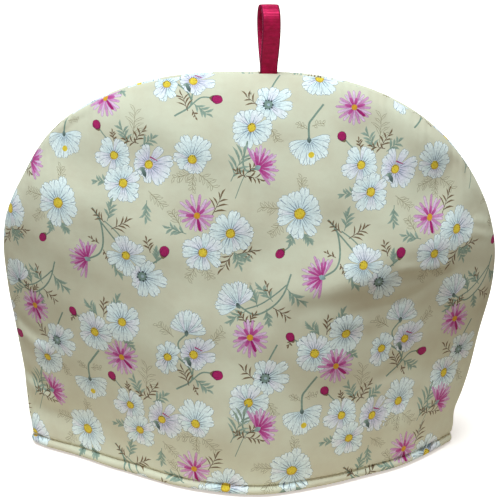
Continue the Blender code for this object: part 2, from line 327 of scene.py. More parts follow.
def across_at(u, height):
    """Where flat places lie across the panel, from -1 to 1."""
    found = np.empty_like(u)
    for start in range(0, len(u), CHUNK):
        part = slice(start, start + CHUNK)
        run = runs_at(height[part])
        low = np.clip((run < u[part, None]).sum(axis=1) - 1, 0, run.shape[1] - 2)
        pick = np.arange(len(low))
        gap = np.maximum(run[pick, low + 1] - run[pick, low], 1e-9)
        t = np.clip((u[part] - run[pick, low]) / gap, 0.0, 1.0)
        found[part] = FLAT["columns"][low] * (1 - t) + FLAT["columns"][low + 1] * t
    return found


def run_at(across, height):
    """Flat distance from the middle line of places given across the panel."""
    return np.array([np.interp(a, FLAT["columns"], run) for a, run in zip(across, runs_at(height))])


def seam_line(count):
    """The panel's flat edge along its seam, from the hem at the right over the top to the left."""
    climb = np.linspace(0.0, 1.0, count // 4, endpoint=False)
    side = EDGE_RUN + (np.interp(SHOULDER, FLAT["heights"], FLAT["climb"]) - HEM_ROUND)
    v_side = side * climb ** 0.9
    across = np.cos(np.linspace(0.0, math.pi, count // 2 + 1))
    height = seam_height(across)
    v_top = np.interp(height, FLAT["heights"], FLAT["climb"]) + EDGE_RUN - HEM_ROUND
    height_side = height_at(v_side)
    right = np.stack([run_at(np.ones_like(climb), height_side), v_side], axis=1)
    top = np.stack([run_at(across, height), v_top], axis=1)
    left = np.stack([run_at(-np.ones_like(climb), height_side), v_side], axis=1)[::-1]
    return np.concatenate([right, top, left])


def evenly(line, spacing):
    """A polyline taken again at about even steps."""
    run = run_along(np.linalg.norm(np.diff(line, axis=0), axis=1))
    places = np.linspace(0.0, run[-1], int(run[-1] / spacing) + 1)
    return np.stack([np.interp(places, run, line[:, k]) for k in range(2)], axis=1)


# ---- Printed flowers -----------------------------------------------------------------------------
# The print is drawn in flat millimetres. A point is a complex number, so that turning and scaling are
# products. A shape is painted over those before it, and each has a colour at its root and its tip.

def ink(red, green, blue):
    """A printing ink, from its screen colour (0 to 255) to linear light."""
    def linear(value):
        value /= 255
        return value / 12.92 if value <= 0.04045 else ((value + 0.055) / 1.055) ** 2.4
    return (linear(red), linear(green), linear(blue), 1.0)


BARE = (0.0, 0.0, 0.0, 0.0)          # no ink: the ground cloth shows
PETAL_WHITE = ink(242, 253, 251)
PETAL_SHADE = ink(212, 234, 240)
PETAL_BLUSH = ink(226, 224, 242)
PETAL_LILAC = ink(210, 200, 230)
PETAL_LINE = ink(112, 132, 150)
PETAL_VEIN = ink(140, 160, 178)
EYE_YELLOW = ink(234, 208, 64)
EYE_OCHRE = ink(204, 164, 46)
EYE_DOT = ink(92, 72, 34)
CALYX_GREEN = ink(126, 150, 142)
CALYX_DARK = ink(58, 72, 76)
CALYX_BLUE = ink(168, 190, 202)
ASTER_PALE = ink(232, 206, 232)
ASTER_LILAC = ink(219, 170, 212)
ASTER_PINK = ink(202, 96, 168)
ASTER_MAGENTA = ink(168, 26, 112)
ASTER_LINE = ink(166, 104, 160)
ASTER_EYE = ink(224, 158, 44)
BUD_MAGENTA = ink(174, 28, 100)
BUD_DARK = ink(120, 14, 78)
SAGE = ink(130, 154, 140)
SAGE_PALE = ink(162, 181, 166)
BROWN = ink(104, 82, 62)
BROWN_PALE = ink(134, 112, 80)
FERN_LINE = ink(142, 132, 98)
EYE_TOP = 100.0            # the way to an eye's dotted side, in degrees
DARK_RAYS = (0, 118, 150, 205, 262, 60, 320)   # degrees from an aster's own way to its magenta rays
RAY_INKS = ((ASTER_PINK, ASTER_LILAC), (ASTER_LILAC, ASTER_PALE))   # root and tip, ray by ray

PETAL_FORM = (             # place along a daisy's petal, and half width as a part of the widest
    (0.00, 0.24), (0.30, 0.62), (0.62, 0.98), (0.86, 0.94), (0.97, 0.60), (0.915, 0.24),
    (1.00, -0.02), (0.92, -0.34), (0.965, -0.62), (0.82, -0.98), (0.56, -0.97), (0.26, -0.58),
    (0.00, -0.24),
)
RAY_FORM = (               # the same for an aster's narrow ray
    (0.00, 0.30), (0.60, 0.90), (0.93, 0.72), (1.00, 0.00), (0.90, -0.78), (0.55, -0.90),
    (0.00, -0.30),
)
LEAF_FORM = (
    (0.00, 0.18), (0.30, 0.80), (0.62, 1.00), (1.00, 0.00), (0.66, -0.82), (0.32, -0.78),
    (0.00, -0.18),
)


class Drawing:
    """Shapes in the order in which they are painted."""

    def __init__(self, seed):
        self.shapes = []
        self.chance = random.Random(seed)

    def vary(self, amount):
        return self.chance.uniform(-amount, amount)

    def shape(self, points, root_ink, tip_ink=None, root=0j, tip=1 + 0j, hides=True):
        """A filled outline. Its colour runs from root_ink at root to tip_ink at tip.

        hides says that it is big enough to be worth leaving out what lies under it.
        """
        self.shapes.append({"points": np.array(points), "inks": (root_ink, tip_ink or root_ink),
                            "root": root, "tip": tip, "hides": hides})

    def blade(self, form, root, tip, half, root_ink, tip_ink=None, bend=0.0, trim=0.0):
        """A petal, ray or leaf from root to tip. trim draws it smaller, inside its own outline."""
        run = tip - root
        length = abs(run)
        if length < 2.2 * trim:
            return
        along = run / length
        narrow = max(half - trim, 0.1 * half)
        points = []
        for place, share in form:
            at = trim + place * (length - 2 * trim)
            sag = bend * length * (place - place * place) * 4
            points.append(root + along * (at + 1j * (share * narrow + sag)))
        self.shape(points, root_ink, tip_ink, root, tip, hides=trim == 0)

    def stroke(self, points, width, colour, end_width=None):
        """A line of changing width through a few points."""
        end_width = width if end_width is None else end_width
        left, right = [], []
        for i, point in enumerate(points):
            run = points[min(i + 1, len(points) - 1)] - points[max(i - 1, 0)]
            share = i / (len(points) - 1)
            side = 1j * run / abs(run) * (width * (1 - share) + end_width * share) / 2
            left.append(point + side)
            right.append(point - side)
        self.shape(left + right[::-1], colour, hides=False)

    def disc(self, centre, radius, colour, sides=12, squeeze=1.0, turn=0.0):
        """A slightly uneven round shape."""
        rim = [complex(math.cos(2 * math.pi * k / sides), squeeze * math.sin(2 * math.pi * k / sides))
               for k in range(sides)]
        rough = [1 + self.vary(0.06) for _ in rim]
        spin = complex(math.cos(turn), math.sin(turn))
        self.shape([centre + radius * r * p * spin for r, p in zip(rough, rim)], colour)


def heading(degrees):
    """A step of length 1, that many degrees anticlockwise from +x."""
    return complex(math.cos(math.radians(degrees)), math.sin(math.radians(degrees)))


def smooth_path(points, steps=5):
    """A Catmull-Rom curve through a few places."""
    ends = [2 * points[0] - points[1]] + list(points) + [2 * points[-1] - points[-2]]
    path = []
    for a, b, c, d in zip(ends, ends[1:], ends[2:], ends[3:]):
        for k in range(steps):
            t = k / steps
            path.append(0.5 * (2 * b + (c - a) * t + (2 * a - 5 * b + 4 * c - d) * t * t
                               + (3 * b - a - 3 * c + d) * t**3))
    return path + [points[-1]]


def petal(draw, root, tip, half, tint=PETAL_SHADE):
    """A daisy's petal: a fine outline, a pale fill that is tinted at its root, and its veins."""
    bend = draw.vary(0.05)
    if tint is PETAL_SHADE and draw.vary(1.0) > 0.3:
        tint = PETAL_BLUSH
    draw.blade(PETAL_FORM, root, tip, half, PETAL_LINE, bend=bend)
    draw.blade(PETAL_FORM, root, tip, half, tint, PETAL_WHITE, bend=bend, trim=0.21)
    run = tip - root
    side = 1j * run / abs(run) * half
    for share in (-0.32, 0.30):
        start = root + 0.12 * run + 0.45 * share * side
        end = root + (0.60 + draw.vary(0.12)) * run + (share + draw.vary(0.12)) * side
        draw.shape([start - 0.09 * side, end, start + 0.09 * side], PETAL_VEIN, hides=False)
    start = root + 0.90 * run + draw.vary(0.3) * side
    end = root + (0.58 + draw.vary(0.08)) * run + draw.vary(0.15) * side
    draw.shape([start - 0.08 * side, end, start + 0.08 * side], PETAL_VEIN, hides=False)


def daisy(draw, spot, size, turn=0.0, lean=0.0, lean_to=0.0, narrow=0.0, petals=10,
          tint=PETAL_SHADE, back=False):
    """A daisy seen from the front, or from the back.

    lean tips it, so that its petals reach further towards lean_to, and narrow draws it in across that.
    """
    order = list(range(petals))
    draw.chance.shuffle(order)
    for k in order:
        angle = turn + 360 * (k + draw.vary(0.20)) / petals
        off = math.radians(angle - lean_to)
        reach = size * (1 + lean * math.cos(off)) * (1 - narrow * math.sin(off) ** 2)
        reach *= 1 + draw.vary(0.13)
        half = size * (0.275 + draw.vary(0.06)) * 10 / petals
        way = heading(angle)
        petal(draw, spot + 0.12 * size * way, spot + reach * way, half, tint)
    if back:
        back_eye(draw, spot, 0.26 * size)
    else:
        front_eye(draw, spot, 0.235 * size)


def lilac_daisy(draw, spot, size, turn, **form):
    """A daisy with lilac petals, a magenta mark over its eye and its calyx showing below."""
    daisy(draw, spot, size, turn, tint=PETAL_LILAC, **form)
    draw.stroke([spot + size * complex(0.06, 0.40), spot + size * complex(0.46, 0.22)], 1.0,
                ASTER_MAGENTA, 0.5)
    draw.blade(LEAF_FORM, spot + size * complex(-0.16, -0.20), spot + size * complex(-0.54, -0.26), 1.5,
               CALYX_GREEN, SAGE_PALE)
    draw.blade(LEAF_FORM, spot + size * complex(-0.36, -0.16), spot + size * complex(-0.14, -0.68), 1.6,
               CALYX_GREEN, CALYX_DARK)


def front_eye(draw, spot, radius):
    """The yellow eye, ochre below and dotted with brown above."""
    draw.disc(spot, radius, EYE_OCHRE)
    draw.disc(spot + 0.12 * radius * heading(EYE_TOP), radius * 0.84, EYE_YELLOW)
    for k in range(8):
        at = spot + radius * heading(EYE_TOP + 24 * (k - 3.5) + draw.vary(7)) * (0.84 + draw.vary(0.16))
        draw.disc(at, 0.40, EYE_DOT, sides=5)
    for k in range(4):
        at = spot + radius * heading(EYE_TOP + 90 * k + draw.vary(30)) * (0.35 + draw.vary(0.2))
        draw.disc(at, 0.26, EYE_OCHRE, sides=5)


def back_eye(draw, spot, radius):
    """The grey-green calyx of a flower seen from behind, ringed with dark tips."""
    draw.disc(spot, radius, CALYX_GREEN)
    for k in range(9):
        way = heading(40 * k + draw.vary(8))
        draw.disc(spot + radius * (1.0 + draw.vary(0.06)) * way, 0.22 * radius, CALYX_DARK, sides=6)
    draw.disc(spot + 0.1 * radius, 0.35 * radius, CALYX_BLUE, sides=7)


def side_daisy(draw, spot, size, turn, spread=95.0, petals=9, eye=None):
    """A daisy seen from the side: a fan of petals from its calyx. turn is where the fan points."""
    order = sorted(range(petals), key=lambda k: -abs(k - (petals - 1) / 2))
    for k in order:
        angle = turn + spread * (2 * k / (petals - 1) - 1) + draw.vary(5)
        reach = size * (1 - 0.16 * abs(2 * k / (petals - 1) - 1)) * (1 + draw.vary(0.08))
        petal(draw, spot, spot + reach * heading(angle), size * 0.19)
    if eye:
        draw.disc(spot + eye * heading(turn), 0.13 * size, EYE_YELLOW, sides=8)
    draw.blade(LEAF_FORM, spot - 2.8 * heading(turn), spot + 1.8 * heading(turn), 1.6,
               CALYX_GREEN, CALYX_DARK)


def ray(draw, root, tip, half, colour, tip_colour):
    """An aster's ray, with its fine outline."""
    draw.blade(RAY_FORM, root, tip, half, ASTER_LINE)
    draw.blade(RAY_FORM, root, tip, half, colour, tip_colour, trim=0.20)


def aster(draw, spot, size, turn, lean=0.0, rays=18, dark=5):
    """A pink aster: pale rays all round, a few magenta ones over them, the longest towards turn."""
    order = list(range(rays))
    draw.chance.shuffle(order)
    for k in order:
        angle = turn + 360 * (k + draw.vary(0.25)) / rays
        reach = size * (1 - lean * math.cos(math.radians(angle - turn))) * (1 + draw.vary(0.08))
        way = heading(angle)
        ray(draw, spot, spot + reach * way, 0.094 * size, *RAY_INKS[k % 2])
    for k in range(dark):
        angle = turn + DARK_RAYS[k] + draw.vary(8)
        reach = size * (0.84 if k == 0 else 0.60 + draw.vary(0.08))
        draw.blade(RAY_FORM, spot, spot + reach * heading(angle), 0.100 * size,
                   ASTER_MAGENTA, ASTER_MAGENTA if k == 0 else ASTER_PINK)
    draw.disc(spot, 0.18 * size, EYE_OCHRE, sides=9)
    draw.disc(spot + 0.25j, 0.13 * size, ASTER_EYE, sides=8)


def side_aster(draw, spot, size, turn, spread=88.0, rays=15, dark=9):
    """A pink aster seen from the side: magenta at the heart of its fan, lilac at the tips."""
    for k in range(rays):
        angle = turn + spread * (2 * k / (rays - 1) - 1) + draw.vary(4)
        reach = size * (1 + draw.vary(0.12))
        ray(draw, spot, spot + reach * heading(angle), 0.080 * size, *RAY_INKS[k % 2])
    for k in range(dark):
        angle = turn + 0.85 * spread * (2 * k / (dark - 1) - 1) + draw.vary(5)
        reach = size * (0.72 + draw.vary(0.14))
        draw.blade(RAY_FORM, spot, spot + reach * heading(angle), 0.062 * size,
                   ASTER_MAGENTA, ASTER_PINK)
    draw.blade(LEAF_FORM, spot - 2.4 * heading(turn), spot + 2.6 * heading(turn), 1.8,
               CALYX_GREEN, CALYX_BLUE)


def bud(draw, spot, size, turn):
    """A closed magenta bud in its small calyx. turn is where its tip points."""
    way = heading(turn)
    draw.blade(LEAF_FORM, spot - 1.35 * size * way, spot + 0.25 * size * way, 0.72 * size,
               BROWN_PALE, CALYX_DARK)
    draw.disc(spot, size, BUD_DARK, squeeze=0.88, turn=math.radians(turn))
    draw.disc(spot + 0.05 * size * way, 0.86 * size, BUD_MAGENTA, squeeze=0.86, turn=math.radians(turn))
    for share in (-0.45, 0.10, 0.50):
        side = 1j * way * share * size
        draw.shape([spot + side - 0.5 * size * way, spot + 0.6 * side + 0.6 * size * way,
                    spot + 1.2 * side - 0.5 * size * way], BUD_DARK, hides=False)


def stem(draw, points, width):
    """A curved stem through a few places."""
    draw.stroke(smooth_path(points), width, SAGE)


def stalk(spot, size, way, curve):
    """The line of a leaf's stem, from how far along it a place is, 0 to 1, to the place."""
    return lambda t: spot + size * t * way * (1 + 1j * curve * t)


def sprig(draw, spot, size, turn, leaflets=7, colours=(SAGE, SAGE_PALE), half=0.92, open_by=42.0):
    """A feathery leaf: a stem with curved leaflets on both sides and one at its tip."""
    way = heading(turn)
    along = stalk(spot, size, way, draw.vary(0.15))
    draw.stroke([along(t) for t in (0.0, 0.4, 0.85)], 0.55, colours[0], 0.25)
    for k in range(leaflets):
        t = 0.12 + 0.62 * k / (leaflets - 1)
        side = 1 if k % 2 else -1
        turned = 0.0 if k == leaflets - 1 else side * (open_by + draw.vary(12))
        reach = size * (0.50 - 0.20 * t) * (1 + draw.vary(0.18))
        tip = along(t) + reach * way * heading(turned)
        draw.blade(LEAF_FORM, along(t), tip, half * (1 + draw.vary(0.15)), colours[0], colours[1],
                   bend=-0.10 * side)


def brown_sprig(draw, spot, size, turn, leaflets=6):
    """A thinner and more open sprig, in brown."""
    sprig(draw, spot, size, turn, leaflets, (BROWN, BROWN_PALE), half=0.58, open_by=50.0)


def fern(draw, spot, size, turn, leaflets=8):
    """A fern drawn in fine outline, its lobes left bare."""
    way = heading(turn)
    along = stalk(spot, size, way, draw.vary(0.25))
    draw.stroke([along(t) for t in (0.0, 0.3, 0.6, 0.9)], 0.30, FERN_LINE, 0.18)
    for k in range(leaflets):
        t = 0.12 + 0.80 * k / leaflets
        side = 1 if k % 2 else -1
        reach = size * (0.42 - 0.16 * t) * (1 + draw.vary(0.2))
        tip = along(t) + reach * way * heading(side * (46 + draw.vary(14)))
        draw.blade(LEAF_FORM, along(t), tip, 0.95, FERN_LINE, bend=-0.08 * side)
        draw.blade(LEAF_FORM, along(t), tip, 0.95, BARE, bend=-0.08 * side, trim=0.27)


# One repeat of the print, charted in millimetres on the flat front, spray by spray. A stem is its
# width and its places. A leaf or flower is what it is, its place (x, y), its size, and the way that
# it points in degrees anticlockwise from +x, with what else is its own.
# The print repeats at even steps. The sewn front carries some copies a little off them: "carried"
# gives those moves, for the copy that many repeats across and up.
REPEAT_ACROSS = complex(167, -7)
REPEAT_UP = complex(-6, 174)
REPEATS = range(-3, 4)     # the copies that may touch a panel, across and up

SPRAYS = (
    {"stems": ((0.8, (-104, 249), (-99, 243), (-93, 238)),),
     "motifs": (
         (sprig, -83, 238, 16, 103), (fern, -79, 243, 22, 80), (brown_sprig, -75, 239, 12, 163),
         (brown_sprig, -78, 240, 14, 60), (sprig, -74, 237, 14, 35), (brown_sprig, -92, 240, 8, 98),
         (sprig, -95, 212, 13, 178), (sprig, -69, 202, 14, -90), (fern, -68, 208, 15, -38),
         (bud, -105, 250, 3.5, 118),
         (lilac_daisy, -68, 225, 13, 20, {"lean": 0.28, "lean_to": 25}),
         (daisy, -92, 230, 12.8, 8), (daisy, -85.5, 212, 13.2, 30, {"petals": 9})),
     "carried": {(0, 0): (0.3, -0.8), (1, 0): (-1, 1), (0, -1): (0.6, -0.5), (1, -1): (-17.5, 4.6)}},
    {"stems": (),
     "motifs": (
         (fern, -38, 221, 15, -155), (fern, -37, 222, 14, -105), (fern, -35, 221, 16, -35),
         (daisy, -38.5, 230, 13.6, 12, {"lean": 0.30, "lean_to": 95, "petals": 11})),
     "carried": {(1, 0): (-0.5, -5), (0, -1): (-4.4, -3), (1, -1): (-25.4, 4.4)}},
    {"stems": ((1.1, (12, 268), (14, 279), (20, 291)),),
     "motifs": (
         (brown_sprig, 6, 266, 15, 130), (fern, 13, 253, 13, -62),
         (daisy, 12, 268, 12.2, 0, {"lean": 0.34, "lean_to": 25, "back": True}),
         (daisy, 1, 252, 13.6, 16, {"petals": 9})),
     "carried": {(0, -1): (-8, -8), (-1, -1): (6.6, -8.5), (1, -1): (-25, -7)}},
    {"stems": ((1.1, (5, 225), (-2, 223), (-5, 229), (-2, 243)),
               (0.5, (-1, 224), (-5, 218), (-10, 205))),
     "motifs": (
         (sprig, -13, 216, 27, 68, {"leaflets": 9, "half": 0.95}), (brown_sprig, -3, 219, 10, 150),
         (brown_sprig, -2, 222, 11, 40), (brown_sprig, -3, 220, 13, -15), (side_aster, 5, 225, 14, 30)),
     "carried": {(0, -1): (-6, 0), (-1, -1): (2, -10), (1, -1): (-32, -1), (-1, 0): (2, -14)}},
    {"stems": ((1.4, (39, 242), (39, 253), (42, 258), (49, 267)),),
     "motifs": (
         (fern, 38, 250, 9, 150, {"leaflets": 6}), (fern, 41, 252, 9, 20, {"leaflets": 6}),
         (side_daisy, 39, 242, 16.5, -82, {"spread": 84, "eye": 9.5})),
     "carried": {(0, -1): (-10, -8), (-1, -1): (5, -7), (-1, 0): (-2, -10)}},
    {"stems": (),
     "motifs": (
         (brown_sprig, -25, 194, 17, 62, {"leaflets": 7}), (sprig, -42, 181, 15, 165, {"half": 0.9}),
         (sprig, -11, 171, 14, -68), (brown_sprig, -11, 169, 16, -128), (brown_sprig, -9, 168, 15, 8),
         (sprig, -10, 169, 12, -25), (fern, -34, 163, 15, -115), (fern, -32, 162, 13, -58),
         (fern, -46, 186, 12, 118), (aster, -35, 193, 12.4, -75, {"lean": 0.14, "dark": 5}),
         (daisy, -13, 182, 14.2, 4, {"petals": 9}), (daisy, -31, 169, 13.4, 22, {"petals": 11})),
     "carried": {(1, 0): (-8.4, -1.7), (0, -1): (-9.5, -2), (1, -1): (-20, 2), (-1, 0): (3, -7),
                 (-1, -1): (-2, -6)}},
    {"stems": ((0.9, (21, 169), (27, 174), (31, 184)),),
     "motifs": (
         (fern, 34, 205, 14, 82), (fern, 21, 197, 15, 172), (fern, 22, 190, 14, -125),
         (sprig, 34, 183, 12, -52), (sprig, 30, 184, 12, -108), (bud, 20, 168, 3.4, 232),
         (daisy, 33, 194, 16.2, 10, {"petals": 11})),
     "carried": {(1, 0): (-4, -3), (0, 0): (-0.3, 0.6), (0, -1): (-10.5, -2.2), (-1, 0): (1.3, -7),
                 (-1, -1): (4.2, -3)}},
    {"stems": ((1.2, (-106, 194), (-100, 186), (-98, 172), (-101, 163), (-110, 158)),
               (1.0, (-102, 188), (-95, 180), (-87, 171)), (0.8, (-97, 186), (-88, 179), (-80, 170)),
               (1.1, (-56, 166), (-65, 160), (-74, 159), (-71, 151))),
     "motifs": (
         (brown_sprig, -97, 185, 12, 140), (brown_sprig, -92, 181, 16, 28, {"leaflets": 7}),
         (sprig, -95, 186, 15, 75, {"half": 0.95}), (brown_sprig, -65, 168, 11, 104),
         (sprig, -61, 161, 11, 92), (sprig, -93, 161, 15, -58, {"half": 0.85}),
         (brown_sprig, -101, 170, 9, 155, {"leaflets": 4}),
         (brown_sprig, -98, 166, 8, -60, {"leaflets": 4}),
         (side_aster, -110, 158, 13.4, 158, {"spread": 100}),
         (daisy, -71, 151, 12.6, 18, {"lean": 0.36, "lean_to": -20, "back": True}),
         (daisy, -82, 164, 13.2, 0, {"petals": 12}), (bud, -55.5, 169.5, 3.9, 76)),
     "carried": {(0, 0): (-1, -0.3), (1, 0): (-9.5, 2.7)}},
    {"stems": ((1.1, (-8, 135), (3, 129), (14, 134), (22, 143), (27, 156)),
               (0.9, (-4, 132), (7, 136), (17, 143), (24, 149))),
     "motifs": (
         (sprig, 15, 138, 15, 136, {"half": 0.9}), (sprig, 5, 134, 14, 112, {"half": 0.9}),
         (sprig, 24, 147, 17, -48, {"half": 1.0}), (sprig, 11, 133, 12, -82),
         (brown_sprig, 15, 134, 14, -28), (brown_sprig, 13, 142, 9, 112, {"leaflets": 4}),
         (sprig, -3, 131, 15, 204), (side_daisy, -8, 135, 16.5, 124, {"spread": 72})),
     "carried": {(1, 0): (-12, -2), (-1, 0): (3, -11)}},
    {"stems": (),
     "motifs": (
         (brown_sprig, -1, 123, 10, 58), (brown_sprig, -2, 123, 10, 128),
         (aster, 0, 114, 12.6, -75, {"lean": -0.06, "rays": 19, "dark": 7})),
     "carried": {(-1, 0): (8, -6), (1, 0): (-16, 0), (0, 1): (8, 24)}},
    {"stems": ((1.0, (30, 111), (35, 108), (40, 104)),),
     "motifs": (
         (brown_sprig, 28, 111, 6, -112, {"leaflets": 4}), (sprig, 48, 112, 15, 128),
         (brown_sprig, 52, 113, 14, 84), (sprig, 57, 116, 16, 62), (sprig, 65, 101, 12, -40),
         (bud, 27.5, 113, 3.4, 122),
         (daisy, 44, 101, 13.6, 24), (daisy, 65.5, 111.5, 13.4, 8, {"petals": 9})),
     "carried": {(0, 0): (-0.9, 1), (-1, 0): (14, -1.6), (0, 1): (9, 11.5), (-1, 1): (14, -3)}},
    {"stems": ((1.2, (-48, 97), (-41, 91), (-39, 82), (-50, 74)), (1.0, (-37, 99), (-38, 90), (-39, 82)),
               (1.0, (-39, 82), (-32, 88), (-24, 88)), (1.0, (-42, 114), (-48, 107), (-45, 99))),
     "motifs": (
         (brown_sprig, -41, 78, 15, 110, {"leaflets": 7}), (sprig, -38, 84, 16, -32),
         (brown_sprig, -38, 79, 7, -62, {"leaflets": 4}), (fern, -51, 111, 15, 138),
         (fern, -27, 107, 15, 50), (side_daisy, -42, 115, 15, 84, {"spread": 70}),
         (daisy, -55.5, 96.5, 12.4, 14, {"lean_to": 90, "narrow": 0.40}),
         (lilac_daisy, -37.5, 100, 13, 30, {"lean": 0.30, "lean_to": 30, "narrow": 0.18}),
         (bud, -21.5, 87, 3.9, -12)),
     "carried": {(0, 0): (0, 1.2), (1, 0): (-20, 7), (0, 1): (5.6, 11), (-1, 0): (9, -6), (1, 1): (2, 5)}},
    {"stems": (),
     "motifs": ((aster, 59, 90, 12.4, -40, {"rays": 20, "dark": 6}),),
     "carried": {(0, 0): (-0.9, 1), (-1, 0): (18.5, -6), (0, 1): (17, -0.5), (-1, 1): (14, -3)}},
)


def drawn_sprays():
    """Each spray with its shapes, in the order in which they are painted."""
    sprays = []
    for seed, spray in enumerate(SPRAYS):
        draw = Drawing(seed)
        for width, *places in spray["stems"]:
            stem(draw, [complex(*place) for place in places], width)
        for motif, x, y, size, turn, *more in spray["motifs"]:
            motif(draw, complex(x, y), size, turn, **(more[0] if more else {}))
        sprays.append({"shapes": draw.shapes, "carried": spray["carried"]})
    return sprays


# ---- Planar map ----------------------------------------------------------------------------------
# Flat millimetres. The outlines of the printed shapes and a grid of points are joined into triangles,
# so that every triangle lies wholly inside or wholly outside each shape.

OUTLINE_STEP = 1.3
SEAM_RINGS = (0.7, 1.5, 2.5, 3.8, 5.4, 7.4, 9.8)   # rows of points that run along beside the seam
RING_REACH = 11.0
STITCH_TOP = 10.4          # the fine rows at the hem's stitches end here
GRID_ROWS = (              # from one v to the next: the step between rows, and the spacing along them
    {"low": -290.0, "high": -16.0, "step": 8.0, "spacing": 9.0},
    {"low": -15.0, "high": -5.5, "step": 1.6, "spacing": 3.5},
    {"low": -4.7, "high": 6.1, "step": 0.9, "spacing": 2.4},
    {"low": 6.6, "high": STITCH_TOP, "step": 0.45, "spacing": 0.675},
    {"low": 11.3, "high": 296.0, "step": 2.2, "spacing": 2.5},
)
FINE_RINGS = 3.0           # the rows beside the seam have all their points up to this distance
EDGE_CLEAR = 1.0           # kept free of grid points along the outline
CELL = 6.0                 # points are looked up by square cells of this size
FOLD_STEP = 3.0            # between the points of the line where the turning ends inside
MERGE = 0.012              # points closer than this become one


def inside_polygon(points, polygon):
    """Which points lie inside a polygon, by counting its edges on one side of them."""
    start, end = polygon, np.roll(polygon, -1)
    rise = np.where(end.imag == start.imag, 1.0, end.imag - start.imag)
    slope = (end.real - start.real) / rise
    found = np.empty(len(points), dtype=bool)
    for first in range(0, len(points), CHUNK):
        place = points[first:first + CHUNK, None]
        spans = (start.imag > place.imag) != (end.imag > place.imag)
        crossing = start.real + (place.imag - start.imag) * slope
        found[first:first + CHUNK] = (spans & (place.real < crossing)).sum(axis=1) % 2 == 1
    return found


class Cells:
    """Points sorted into square cells, to find those inside a polygon quickly."""

    def __init__(self, points):
        self.points = points
        self.cells = {}
        columns, rows = np.floor(points.real / CELL), np.floor(points.imag / CELL)
        for i, key in enumerate(zip(columns.astype(int).tolist(), rows.astype(int).tolist())):
            self.cells.setdefault(key, []).append(i)

    def within(self, polygon):
        """The numbers of the points inside a polygon."""
        x, y = np.floor(polygon.real / CELL).astype(int), np.floor(polygon.imag / CELL).astype(int)
        near = [i for a in range(x.min(), x.max() + 1) for b in range(y.min(), y.max() + 1)
                for i in self.cells.get((a, b), ())]
        if not near:
            return np.zeros(0, dtype=int)
        near = np.array(near)
        return near[inside_polygon(self.points[near], polygon)]


def top_shapes(points, shapes, hiding=False):
    """For each point, the number of the shape that is painted over it last, or -1."""
    cells = Cells(points)
    top = np.full(len(points), -1)
    for number, shape in enumerate(shapes):
        if shape["hides"] or not hiding:
            top[cells.within(shape["points"])] = number
    return top


def placed(shape, offset, turned_over):
    """A copy of a shape at its place on the cut."""
    moved = {key: shape[key] + offset for key in ("points", "root", "tip")}
    if turned_over:
        moved = {key: -np.conj(place) for key, place in moved.items()}
    return dict(shape, **moved)


def printed_shapes(sprays, outline, side):
    """All shapes that touch the printed part of a panel, in paint order.

    The back's cut is turned over, so that x runs to the right of the front there too, and every copy
    on it is at its even step.
    """
    at_back = side["facing"] > 0
    lowest = -MM * TURNING
    rough_outline = outline[::8]
    found = []
    for spray in sprays:
        for column in REPEATS:
            for row in REPEATS:
                offset = side["print_at"] + column * REPEAT_ACROSS + row * REPEAT_UP
                if not at_back:
                    offset += complex(*spray["carried"].get((column, row), (0, 0)))
                for shape in spray["shapes"]:
                    copy = placed(shape, offset, at_back)
                    points = copy["points"]
                    if not lowest - CELL < points[0].imag < outline.imag.max() + CELL:
                        continue
                    if points.imag.max() > lowest and inside_polygon(points, rough_outline).any():
                        found.append(copy)
    return found


def visible_edges(shapes):
    """The shapes' outlines as points and edges, without the edges that later shapes hide."""
    points = np.concatenate([shape["points"] for shape in shapes])
    number = np.concatenate([np.full(len(shape["points"]), k) for k, shape in enumerate(shapes)])
    follow = np.arange(len(points)) + 1
    starts = np.cumsum([0] + [len(shape["points"]) for shape in shapes])
    follow[starts[1:] - 1] = starts[:-1]
    ends = top_shapes(points, shapes, hiding=True) > number
    middles = top_shapes((points + points[follow]) / 2, shapes, hiding=True) > number
    hidden = ends & ends[follow] & middles
    edges = np.stack([np.arange(len(points)), follow], axis=1)[~hidden]
    used, renumbered = np.unique(edges, return_inverse=True)
    return points[used], renumbered.reshape(-1, 2)


def beside_seam(line):
    """Rows of points that run along inside the seam."""
    run = np.gradient(line)
    inward = 1j * run / np.abs(run)
    rows = []
    for k, distance in enumerate(SEAM_RINGS):
        every = 1 if distance < FINE_RINGS else 2
        rows.append(line[k % 2::every] + distance * inward[k % 2::every])
    return np.concatenate(rows)


def grid_points(outline, line):
    """The points between the printed shapes: finer at the hem's stitches, sparse on the inner face."""
    rings = beside_seam(line)
    rows = [rings[rings.imag > STITCH_TOP + EDGE_CLEAR]]
    for band in GRID_ROWS:
        for k, v in enumerate(np.arange(band["low"], band["high"] + MERGE, band["step"])):
            start = outline.real.min() + 0.5 * (k % 2) * band["spacing"]
            row = np.arange(start, outline.real.max(), band["spacing"]) + 1j * v
            row = row[inside_polygon(row, outline)]
            gap = np.full(len(row), np.inf)
            for point in line[::2]:
                gap = np.minimum(gap, np.abs(row - complex(point.real, abs(point.imag) * np.sign(v))))
            rows.append(row[gap > (RING_REACH if v > STITCH_TOP else EDGE_CLEAR)])
    return np.concatenate(rows)


